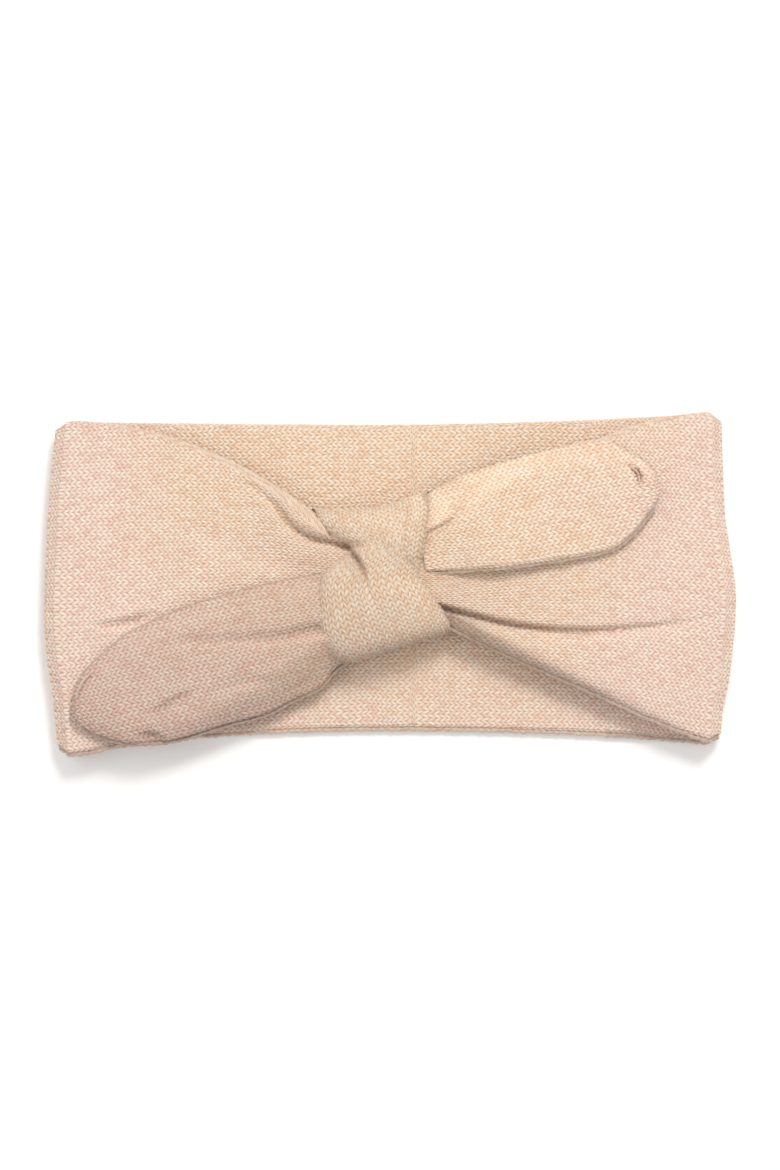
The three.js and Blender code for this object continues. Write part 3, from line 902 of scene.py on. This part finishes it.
tails = {
    "Left": {
        "body": "tail_left", "root": "front_left", "joint": "tail_left_lift", "side": -1, "tip": 83,
        # painted shade: towards the lower edge, along the rim and in the creases
        "paintedShade": 0.5, "paintedShadeReach": 4.5, "paintedRimShade": 0.8, "paintedFoldShade": 0.42,
        # the two edges in the tail's own plane: distance from the hinge, and sideways, mm
        "first": [(-16, -20.4), (-10, -21.8), (.5, -22.2), (12, -22.3), (33, -21.5), (50, -18.9), (58, -17),
                  (66, -13.2), (75.8, -7.2), (80, -2.5), (82.4, 3), (83.1, 6)],
        "second": [(-16, 7), (-5.7, 11.1), (.5, 15.3), (11, 17.9), (22, 20.5), (33, 20.8), (50, 21.8),
                   (60, 20.6), (66.5, 19), (75.7, 14.3), (80, 10.8), (82.3, 8), (83.1, 6.4)],
        "level": [(-16, 17.4), (-6, 19.2), (4, 20.4), (14, 19.5), (24, 18.2), (50, 16.3), (83, 15.5)],
        "creases": [
            {"line": [(-12, -13), (-19, -14.2), (-26, -14.6), (-36, -17), (-48, -18), (-63, -18.5),
                      (-78, -20)],
             "depth": [2.6, 2.4, 2.0, 1.5, 1.1, .7, 0], "width": 2.0, "lip": .25},
            {"line": [(-64, -34.5), (-70, -37.3), (-75, -40.3), (-81, -43)],
             "depth": [0, 1.3, 1.2, 0], "width": 1.0, "lip": -.4},
            {"line": [(-73, -51.5), (-79, -49.4), (-85, -50.5)], "depth": [0, 1.9, 0], "width": 1.2},
            {"line": [(-34, -33), (-44, -31.5), (-52, -33), (-60, -37)],
             "depth": [0, .9, .8, 0], "width": 2.2, "lip": .3},
        ],
        "endStitch": [(-103.6, -37.5, 14.6), (-102.9, -35, 15.2), (-101.6, -32.4, 15.4),
                      (-100, -30.4, 15.2), (-98.4, -29, 14.6)],
    },
    "Right": {
        "body": "tail_right", "root": "right_root", "joint": "tail_right_lift", "side": 1, "tip": 67,
        # painted shade: towards the lower edge, along the rim and in the creases
        "paintedShade": 0.12, "paintedShadeReach": 1.2, "paintedRimShade": 0.5, "paintedFoldShade": 0.35,
        "first": [(-16, -13), (0, -14.6), (17.6, -16.2), (40, -16.6), (47, -16.2), (55, -12.6),
                  (61, -7.4), (65, -3.8), (67.1, -.2)],
        "second": [(-16, 12.2), (-7, 13.8), (6.7, 17.5), (24, 19.6), (46, 20.6), (52, 19.9), (58, 15.4),
                   (62, 12.4), (65, 8.5), (66.6, 4.5), (67.1, .4)],
        "level": [(-16, 18.0), (-6, 19.6), (4, 20.6), (12, 20.0), (20, 18.7), (45, 16.4), (67, 15.5)],
        "creases": [
            {"line": [(10, 15.0), (15, 17.6), (19, 20.3), (22.5, 24.5), (24, 29)],
             "depth": [2.8, 2.6, 2.0, 1.0, 0], "width": 1.0, "lip": .3},
            {"line": [(76, 39.8), (80.3, 38.4), (81.9, 36.2), (82.2, 32.8)],
             "depth": [0, 1.0, 2.3, 0], "width": .8, "lip": .5},
            {"line": [(80, 40.5), (85, 37), (87.3, 32), (86, 27), (83, 23.5)],
             "depth": [0, -.7, -.9, -.6, 0], "width": 1.7},
        ],
        "endStitch": [(79.6, 38.9, 15.1), (81.0, 37.9, 14.9), (82.0, 36.3, 14.3),
                      (82.3, 34.6, 14.8), (81.9, 33.0, 15.2)],
    },
}
tailCloth = {
    "thickness": 3.5,
    "start": -14,           # along the tail from its hinge, mm: where it comes out of the knot
    "cut": 8,               # where the root and the free tail meet
    "bend": (9, 24),        # the stretch of the free tail that bends
    "softEdge": 9,          # width of the lower side that thins out and sinks
    "thinner": 1.9,
    "sunk": 1.7,
    "droop": 0.85,          # share of its free height that it loses off the front layer
    "droopReach": 15,
    "roundTip": 9,          # the last stretch, where the outline turns
    "closing": 2.6,         # and the stretch that closes to a thin end
    "seamOut": 1.4,
    "seamDown": 1.8,
}
# how far the cloth bends on both sides of a hinge at the knot, towards it and away from it, m
hingeReach = {"back": (0.009, 0.009), "front_left": (0.007, 0.009), "right_root": (0.007, 0.0075)}


def nearHinge(side, place):
    hinge = side * band["halfCenter"] * mm
    inside, outside = hingeReach[place]
    return {"start": (hinge - side * inside, 0, 0), "end": (hinge + side * outside, 0, 0)}


def tailFrame(tail):
    # hinge place, direction of the tail and direction across it
    joint = jointByName[tail["joint"]]
    axis = joint["axis"]
    sign = 1 if -axis[1] * tail["side"] > 0 else -1
    along = np.array([-axis[1], axis[0], 0]) * sign
    return np.array(joint["pos_m"]) / mm, along, np.array([-along[1], along[0], 0])


def tailEdges(tail, reach):
    return [throughPoints(*np.array(tail[k]).T, reach) for k in ("first", "second")]


def onTail(x, y, margin):
    # whether a place on the front lies under one of the tails
    found = np.zeros(np.shape(x), bool)
    for tail in tails.values():
        origin, along, aside = tailFrame(tail)
        reach = (x - origin[0]) * along[0] + (y - origin[1]) * along[1]
        eta = (x - origin[0]) * aside[0] + (y - origin[1]) * aside[1]
        first, second = tailEdges(tail, reach)
        beside = (eta > first - margin) & (eta < second + margin)
        found |= (reach > -18) & (reach < tail["tip"] + margin) & beside
    return found


def bandShows(name, points, normals):
    x, y, z = np.moveaxis(points, -1, 0)
    covered = onTail(x, y, 0.5) | ((np.abs(x) < 23) & (y < 30) & (y > -26))
    if name.startswith("back"):
        upper, lower, _ = frontEdges(x)
        covered |= (y < upper + 2) & (y > lower - 2)
        return (normals[..., 2] > -0.4) & ~covered
    covered |= np.abs(x - inMillimetres("front_root_right")[1][0]) < 1.6
    return (normals[..., 2] > -0.3) & ~covered & (z > band["frontLevel"] - 2)


def makeBand():
    loop = band["halfLoop"]
    frontStart = loop - band["cut"]
    rootEnd = inMillimetres("front_root_right")[1][0]
    rootStart = loop - rootEnd
    level = {"start": (0, 0, band["thickness"] * mm), "end": (0, 0, band["frontLevel"] * mm)}
    made = {}
    for sideName, side, creases in (("Left", -1, leftCreases), ("Right", 1, rightCreases)):
        bodyBack, bodyFront = f"back_{sideName.lower()}", f"front_{sideName.lower()}"
        back = bandPiece("backLayer" + sideName, side, 0, band["cut"], [], inside=True)
        fold = bandPiece("foldedSide" + sideName, side, band["cut"], frontStart, creases)
        for part in back:
            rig.blend(part, "back_center", bodyBack, **nearHinge(side, "back"))
        for part in fold:
            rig.blend(part, bodyBack, bodyFront, **level)
        if side < 0:
            front = bandPiece("frontLayer" + sideName, side, frontStart, loop, creases)
            for part in front:
                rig.blend(part, "knot", bodyFront, **nearHinge(side, "front_left"))
            made[sideName] = [back, fold, front]
        else:
            front = bandPiece("frontLayer" + sideName, side, frontStart, rootStart, creases)
            for part in front:
                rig.ride(part, bodyFront)
            root = bandPiece("frontRoot" + sideName, side, rootStart, loop, creases)
            for part in root:
                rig.blend(part, "knot", "right_root", **nearHinge(side, "right_root"))
            made[sideName] = [back, fold, front, root]
    for sideName, pairs in made.items():
        body = sideName.lower()
        nodes = [("back_panel_" + body, "lower_seam_back_" + body), (None, None),
                 ("front_panel_" + body, "lower_seam_front_" + body), ("front_root_right", None)]
        for (strip, seam, *_), (stripNode, seamNode) in zip(pairs, nodes):
            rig.slot(strip, "band_knit")
            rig.slot(seam, "seam_yarn")
            if stripNode:
                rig.replaces(strip, stripNode)
            if seamNode:
                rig.replaces(seam, seamNode)
    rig.replaces(made["Left"][0][0], "back_panel_center")
    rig.replaces(made["Left"][0][1], "lower_seam_back_center")
    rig.replaces(made["Left"][2][0], "front_gather")
    print("band made")


makeBand()


# knot

knot = {
    # outline seen from the front, from the upper turn (0) to the lower turn (1): place, x, y
    "left": [(0, -25.4, 25.6), (.1, -23.2, 20.3), (.2, -17.4, 15), (.28, -13.2, 12.6), (.38, -17, 8),
             (.5, -22.8, 2.5), (.62, -24.4, -5), (.75, -24.0, -13), (.88, -21.5, -20.5), (1, -15.5, -26.6)],
    "right": [(0, 12.4, 31.3), (.2, 12.4, 22), (.35, 11.9, 14), (.48, 10.4, 6.5), (.55, 10, 3.5),
              (.65, 13, -1), (.8, 17.3, -7.5), (.93, 20.3, -13), (1, 20.6, -15.7)],
    "top": wrapHigh[2] - 0.3,
    "edge": 16.2,             # level of the sides where they press on the front layer
    "turn": 11.5,             # level of the upper and lower turn
    "back": 4.45,             # level of the hidden strap between the layers
    "backHalf": inMillimetres("knot_wrap_back")[1][0],
    "dip": 2.8,               # how far the middle of the upper turn is drawn down
    "thickness": 4.6, "backThickness": 2.7,
    "wale": 2.6, "course": 2.0,
}
knotCreases = [
    {"line": [(-4.5, -9), (-6.8, -4), (-8, .5), (-9.2, 5), (-11.8, 9.5), (-16, 13.6)],
     "depth": [0, .6, 1.4, 2.4, 3.6, 4.0], "width": 0.8, "lip": .26},
    {"line": [(-18, -20), (-10, -17), (2, -11), (12, -6)], "depth": [0, .35, .35, 0], "width": 3.2},
    {"line": [(-15, 22), (-8, 17), (-2, 12), (1, 8)], "depth": [0, .5, .6, 0], "width": 2.4, "lip": .3},
]


def knotPlace(turned, share, creased=1):
    # outer face of the strap that goes round the gathered front, and its painted shade:
    # angle round the loop, share across, and 0 for the face without its creases
    place = (1 - np.cos(turned)) / 2
    behind = easeIn(-np.sin(turned) * 2.2)
    sides = []
    for name, half in (("left", -knot["backHalf"]), ("right", knot["backHalf"])):
        at, x, y = np.array(knot[name]).T
        x = throughPoints(at, x, place) * (1 - behind) + half * behind
        sides.append((x, throughPoints(at, y, place)))
    x = sides[0][0] + share * (sides[1][0] - sides[0][0])
    y = sides[0][1] + share * (sides[1][1] - sides[0][1])
    y = y - knot["dip"] * 4 * share * (1 - share) * (1 - place) ** 3
    swell = np.clip(1 - np.abs(2 * share - 1) ** 2.6, 0, 1) ** 0.55
    rise = np.clip(np.sin(turned), 0, 1) ** 0.7
    level = knot["edge"] + (knot["top"] - knot["edge"]) * swell
    front = knot["turn"] + (level - knot["turn"]) * rise - (1 - rise) * (1 - swell) * 2.5
    folds = rise * sum(creaseShift(x, y, c) for c in knotCreases)
    front = front + creased * folds
    drop = np.clip(-np.sin(turned), 0, 1) ** 0.3
    z = np.where(np.sin(turned) >= 0, front, front - (front - knot["back"]) * drop)
    # painted shade along the upper and lower turn, along the side edges and in the creases
    upperTurnShade, lowerTurnShade = 0.3 * np.exp(-place / 0.07), 0.75 * np.exp(-(1 - place) / 0.06)
    leftEdgeShade = 0.4 * np.exp(-share / 0.035) * easeIn((place - 0.2) / 0.3)
    rightEdgeShade = 0.3 * np.exp(-(1 - share) / 0.03)
    shade = creaseShadeBy(folds) + upperTurnShade + lowerTurnShade + leftEdgeShade + rightEdgeShade
    return np.stack(np.broadcast_arrays(x, y, z), -1), shade


def makeKnot():
    fine = np.linspace(-math.pi / 2, 1.5 * math.pi, 3000)
    middle = knotPlace(fine[:, None], np.array([[0.5]]))[0][:, 0]
    run = np.concatenate([[0], np.cumsum(np.linalg.norm(np.diff(middle, axis=0), axis=1))])
    stations = round(run[-1] / (knot["course"] / 4))
    turned = np.interp(np.linspace(0, run[-1], stations), run, fine)
    share = np.linspace(0, 1, 133)
    share = share + 0.55 * (0.5 - 0.5 * np.cos(share * math.pi) - share)
    face, shade = knotPlace(turned[:, None], share[None, :])
    widths = np.cumsum(np.linalg.norm(np.diff(face, axis=1), axis=2), 1)
    across = np.concatenate([np.zeros((stations, 1)), widths], 1)
    wide = across[:, -1:]
    wale = (across - wide / 2) / (knot["wale"] * (wide / 46) ** 0.45)
    course = np.linspace(0, run[-1], stations)[:, None] / knot["course"]
    thicker = knot["thickness"] - knot["backThickness"]
    thick = knot["backThickness"] + thicker * easeIn(np.sin(turned) * 2 + 1)
    # painted shade on the rounded edges of the strap
    rims = (0.6, 0.6 * easeIn((0.3 - np.cos(turned[:, None]) / 2) / 0.3))
    strap, points, shading = clothStrip("knotStrap", face, thick[:, None], course, wale, knotKnit, skip=3,
                                        relief=0.5, shade=shade, rims=rims,
                                        smooth=knotPlace(turned[:, None], share[None, :], 0)[0])
    fibres = looseFibres("knotFibres", points, shading, 0.8,
                         lambda p, v: (v[..., 2] > -0.1) & (p[..., 2] > 10), 41)
    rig.ride(fibres, "knot")
    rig.ride(strap, "knot")
    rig.slot(strap, "tie_knit")
    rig.replaces(strap, "knot_wrap_front", "knot_wrap_back")

    # the narrow fold that runs down the right side of the knot
    count = 76
    place = np.linspace(0, 1, count)
    left = [throughPoints([0, .28, .55, .8, 1], v, place) for v in
            ([4.4, 4.8, 3.4, 2.6, 5.4], [28.4, 23.4, 17, 10.5, 5.0])]
    right = [throughPoints([0, .28, .55, .8, 1], v, place) for v in
             ([12.9, 12.8, 12.1, 11.0, 8.8], [31.4, 23.8, 16, 9.5, 4.2])]
    share = np.linspace(0, 1, 31)[None, :]
    x = left[0][:, None] + share * (right[0] - left[0])[:, None]
    y = left[1][:, None] + share * (right[1] - left[1])[:, None]
    level = throughPoints([4, 8, 14, 20, 25, 28.5, 31.4], [20.4, 24.2, 25.3, 24.4, 21.6, 17.2, 11.5], y)
    z = level - 3.6 * np.abs(2 * share - 1) ** 2.4 - 2.6 * easeIn((share - 0.5) * 2)
    z = z - 2.2 * easeIn((place[:, None] - 0.8) / 0.2)
    face = np.stack([x, y, z], -1)
    # painted shade along the right side of the fold
    shade = 0.5 * np.exp(-(1 - share) / 0.08)
    fold, points, shading = clothStrip("knotSideFold", face, 3.2, place[:, None] * 15,
                                       (share - .5) * 3.4, knotKnit, skip=2, relief=0.45,
                                       shade=shade, rims=(0.7, 0.1))
    foldFibres = looseFibres("knotSideFibres", points, shading, 0.8, lambda p, v: v[..., 2] > 0, 42)
    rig.ride(foldFibres, "knot")
    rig.ride(fold, "knot")
    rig.sheet(strap, flat=(0.046, run[-1] * mm), held="gathered", rests_on=["front_gather"],
             area=wide[:, 0].mean() * run[-1] * mm * mm, with_pieces=[fold, fibres, foldFibres])
    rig.slot(fold, "tie_knit")
    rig.replaces(fold, "knot_side_fold")

    # tacking threads that hold the strap to the layer beneath
    for side in ("left", "right"):
        low, high = inMillimetres("knot_tack_" + side)
        middle = [(a + b) / 2 for a, b in zip(low, high)]
        longer = 0 if high[0] - low[0] > high[1] - low[1] else 1
        ends = np.linspace(low[longer] + 0.3, high[longer] - 0.3, 30)
        path = np.tile(np.array(middle, float), (30, 1))
        path[:, longer] = ends
        path[:, 1 - longer] += 0.5 * np.sin(np.linspace(0, 6 * math.pi, 30))
        thread = seamRope("knotTack" + side.title(), path, 0.22, 1.4)
        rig.ride(thread, "knot")
        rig.slot(thread, "seam_yarn")
        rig.replaces(thread, "knot_tack_" + side)
    print("knot made")


makeKnot()


def tailPiece(name, tail, start, end):
    origin, along, aside = tailFrame(tail)
    step = knit["course"] / knit["stepsPerCourse"]
    reach = np.arange(round(start / step) - 1, round(end / step) + 2) * step
    if end == tail["tip"]:
        bend = tail["tip"] - tailCloth["roundTip"]
        turning = (tailCloth["roundTip"] - 0.1) * np.sin(np.linspace(0, 1, 34)[1:] * math.pi / 2)
        reach = np.concatenate([reach[reach < bend], bend + turning, [tail["tip"] - 0.02]])
    first, second = tailEdges(tail, reach)
    half = (second - first) / 2
    share = np.linspace(-1, 1, 109)[None, :]
    eta = (first + second)[:, None] / 2 + share * np.maximum(half - 0.9, 0.1)[:, None]
    x = origin[0] + reach[:, None] * along[0] + eta * aside[0]
    y = origin[1] + reach[:, None] * along[1] + eta * aside[1]
    level = throughPoints(*np.array(tail["level"]).T, reach)[:, None] - 0.5 * share ** 2
    upper, lower, _ = frontEdges(x)
    beyond = (y - upper - 1 if tail["side"] > 0 else lower - 1 - y) / tailCloth["droopReach"]
    droop = easeIn(beyond) * (level - tailCloth["thickness"] - 5.0) * tailCloth["droop"]
    folds = sum(creaseShift(x, y, c) for c in tail["creases"])
    z = level - droop + softWaves(x, y, 0.3, 11 + tail["side"])
    fromEdge = (half[:, None] + 0.001) * (1 - np.abs(share))
    softSide = -share if tail["side"] < 0 else share
    thin = easeIn((tailCloth["softEdge"] - fromEdge) / tailCloth["softEdge"]) * (softSide > 0)
    thick = tailCloth["thickness"] - tailCloth["thinner"] * thin
    z = z - tailCloth["sunk"] * thin
    thick = thick * (0.45 + 0.55 * easeIn((reach - tailCloth["start"]) / 16))[:, None]
    nearTip = np.clip((reach - tail["tip"] + tailCloth["closing"]) / tailCloth["closing"], 0, 1)
    closing = np.sqrt(np.clip(1 - nearTip ** 2, 0.01, 1))[:, None]
    z = z - thick * (1 - closing) / 2
    thick = thick * closing
    smooth = np.stack([x, y, z], -1)
    face = np.stack([x, y, z + folds * easeIn((tail["tip"] - 0.3 - reach) / 2)[:, None]], -1)
    course = np.broadcast_to((reach / knit["course"])[:, None], x.shape)
    squeeze = (0.8 + 0.2 * easeIn((reach + 10) / 35))[:, None]
    # the left tail takes the darker copy of the knit as painted shade
    cloth = shadedKnit if tail["side"] < 0 else tieKnit
    fromLower = second[:, None] - eta if tail["side"] < 0 else eta - first[:, None]
    # painted shade in the creases, towards the lower edge and on the rims
    shade = creaseShadeBy(folds, tail["paintedFoldShade"])
    shade = shade + tail["paintedShade"] * np.exp(-np.clip(fromLower / tail["paintedShadeReach"], 0, None))
    rims = (tail["paintedRimShade"], 0.3) if tail["side"] < 0 else (0.3, tail["paintedRimShade"])
    strip, points, shading = clothStrip(name, face, thick, course, eta / (knit["wale"] * squeeze), cloth,
                                        spare=1, smooth=smooth, shade=shade, rims=rims)
    column = 0 if aside[1] > 0 else -1
    outward = unit(face[:, column] - face[:, 1 if column == 0 else -2])
    edge = (face[1:-1, column] + outward[1:-1] * tailCloth["seamOut"]
            - np.array([0, 0, tailCloth["seamDown"]]))
    if end == tail["tip"]:
        edge = edge[reach[1:-1] < tail["tip"] - 3]
    seam = seamRope(name + "Seam", edge, 0.7, shade=tail["paintedRimShade"])
    fibres = looseFibres(name + "Fibres", points, shading, 0.6,
                         lambda p, v: (v[..., 2] > -0.2) & (np.abs(p[..., 0]) > 19), 31 + tail["side"])
    parts = [strip, seam] + ([fibres] if fibres else [])
    length = reach[-2] - reach[1]
    width = 2 * half.max()
    if end == tail["tip"]:
        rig.sheet(strip, flat=(width * mm, length * mm), held="laid",
                 area=np.trapz(2 * half[1:-1], reach[1:-1]) * mm * mm, with_pieces=parts[1:])
    else:
        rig.padded(strip, fill=0.9)
    return parts


def makeTails():
    for sideName, tail in tails.items():
        body = sideName.lower()
        origin, along, _ = tailFrame(tail)
        root = tailPiece("tailRoot" + sideName, tail, tailCloth["start"], tailCloth["cut"])
        for part in root:
            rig.blend(part, "knot", tail["root"], **nearHinge(tail["side"], tail["root"]))
        free = tailPiece("tail" + sideName, tail, tailCloth["cut"], tail["tip"])
        start, end = (tuple((origin + along * v) * mm) for v in tailCloth["bend"])
        for part in free:
            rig.blend(part, tail["root"], tail["body"], start=start, end=end)
        stitch = seamRope("endStitch" + sideName, np.array(tail["endStitch"], float), 0.42, 1.3)
        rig.ride(stitch, tail["body"])
        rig.slot(stitch, "seam_yarn")
        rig.replaces(stitch, f"tail_{body}_end_stitch")
        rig.replaces(free[0], "tail_" + body)
        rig.replaces(free[1], f"tail_{body}_edge_seam")
        for strip, seam, *_ in (root, free):
            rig.slot(strip, "tie_knit")
            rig.slot(seam, "seam_yarn")
    print("tails made")


makeTails()


# seam across the back, where the knitted strip was joined into a loop, mm
backRidge = {
    "halfWidth": 1.3,
    "height": 0.28,         # over the back layer
    "crown": 0.5,
    "thickness": 0.7,
    "inset": 1.6,           # from the upper and lower edge of the band
    "wander": 0.15,
    "course": 1.9,
}


def makeBackSeam():
    middle = (ridgeLow[0] + ridgeHigh[0]) / 2
    upper, lower = backEdges(np.array([middle]))
    y = np.arange(lower[0] + backRidge["inset"], upper[0] - backRidge["inset"], 0.5)[:, None]
    share = np.linspace(-1, 1, 19)[None, :]
    x = middle + share * backRidge["halfWidth"] + backRidge["wander"] * np.sin(y * 0.7)
    z = band["thickness"] + backRidge["height"] - backRidge["crown"] * share ** 2
    face = np.stack(np.broadcast_arrays(x, y, z), -1)
    ridge, _, _ = clothStrip("backSeamRidge", face, backRidge["thickness"], y / backRidge["course"],
                             share * 0.8, bandKnit, relief=0.3)
    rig.ride(ridge, "back_center")
    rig.slot(ridge, "band_knit")
    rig.replaces(ridge, "back_seam")
    print("back seam made")


makeBackSeam()


# floor, light and camera

studio = {
    "floor": (1.0, 1.0, 1.0, 1),
    "cameraHeight": 1.30,
    "frameWidth": 0.260,        # width of the surface that the view takes in
    "floorReach": 3.0,
    "floorLevel": -0.0002,
    "softboxes": [("keySoftbox", (0.26, 0.74, 0.92), 0.42, 8.0, (1.0, 0.985, 0.96)),
                  ("fillSoftbox", (-0.55, 0.1, 1.0), 0.9, 1.5, (0.97, 0.985, 1.0))],
    "air": (1, 0.985, 0.965, 1),
    "airStrength": 0.72,
}


def makeStudio():
    floorMesh = bpy.data.meshes.new("studioFloor")
    reach, level = studio["floorReach"], studio["floorLevel"]
    floorMesh.from_pydata([(x * reach, y * reach, level) for x, y in ((-1, -1), (1, -1), (1, 1), (-1, 1))],
                          [], [(0, 1, 2, 3)])
    floor = bpy.data.objects.new("studioFloor", floorMesh)
    bpy.context.scene.collection.objects.link(floor)
    material = bpy.data.materials.new("studioFloor")
    material.use_nodes = True
    shader = material.node_tree.nodes["Principled BSDF"]
    shader.inputs["Base Color"].default_value = studio["floor"]
    shader.inputs["Roughness"].default_value = 0.9
    floorMesh.materials.append(material)
    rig.stage(floor)

    for name, place, size, energy, color in studio["softboxes"]:
        light = bpy.data.lights.new(name, "AREA")
        light.shape = "DISK"
        light.size = size
        light.energy = energy
        light.color = color
        holder = bpy.data.objects.new(name, light)
        bpy.context.scene.collection.objects.link(holder)
        holder.location = place
        holder.rotation_euler = (Vector((0, 0, 0)) - Vector(place)).to_track_quat("-Z", "Y").to_euler()

    world = bpy.data.worlds.new("studioAir")
    world.use_nodes = True
    world.node_tree.nodes["Background"].inputs[0].default_value = studio["air"]
    world.node_tree.nodes["Background"].inputs[1].default_value = studio["airStrength"]
    bpy.context.scene.world = world

    camera = bpy.data.cameras.new("topCamera")
    camera.sensor_fit = "HORIZONTAL"
    camera.sensor_width = 36
    camera.lens = 36 * studio["cameraHeight"] / studio["frameWidth"]
    camera.clip_end = 20
    holder = bpy.data.objects.new("topCamera", camera)
    bpy.context.scene.collection.objects.link(holder)
    holder.location = (0, 0, studio["cameraHeight"])
    bpy.context.scene.camera = holder
    bpy.context.scene.view_settings.view_transform = "Standard"
    print("studio ready")


makeStudio()

json.dump({"cad": [list(v) for v in cadBounds], "visual": [list(v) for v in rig.bounds()]},
          open("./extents.json", "w"))
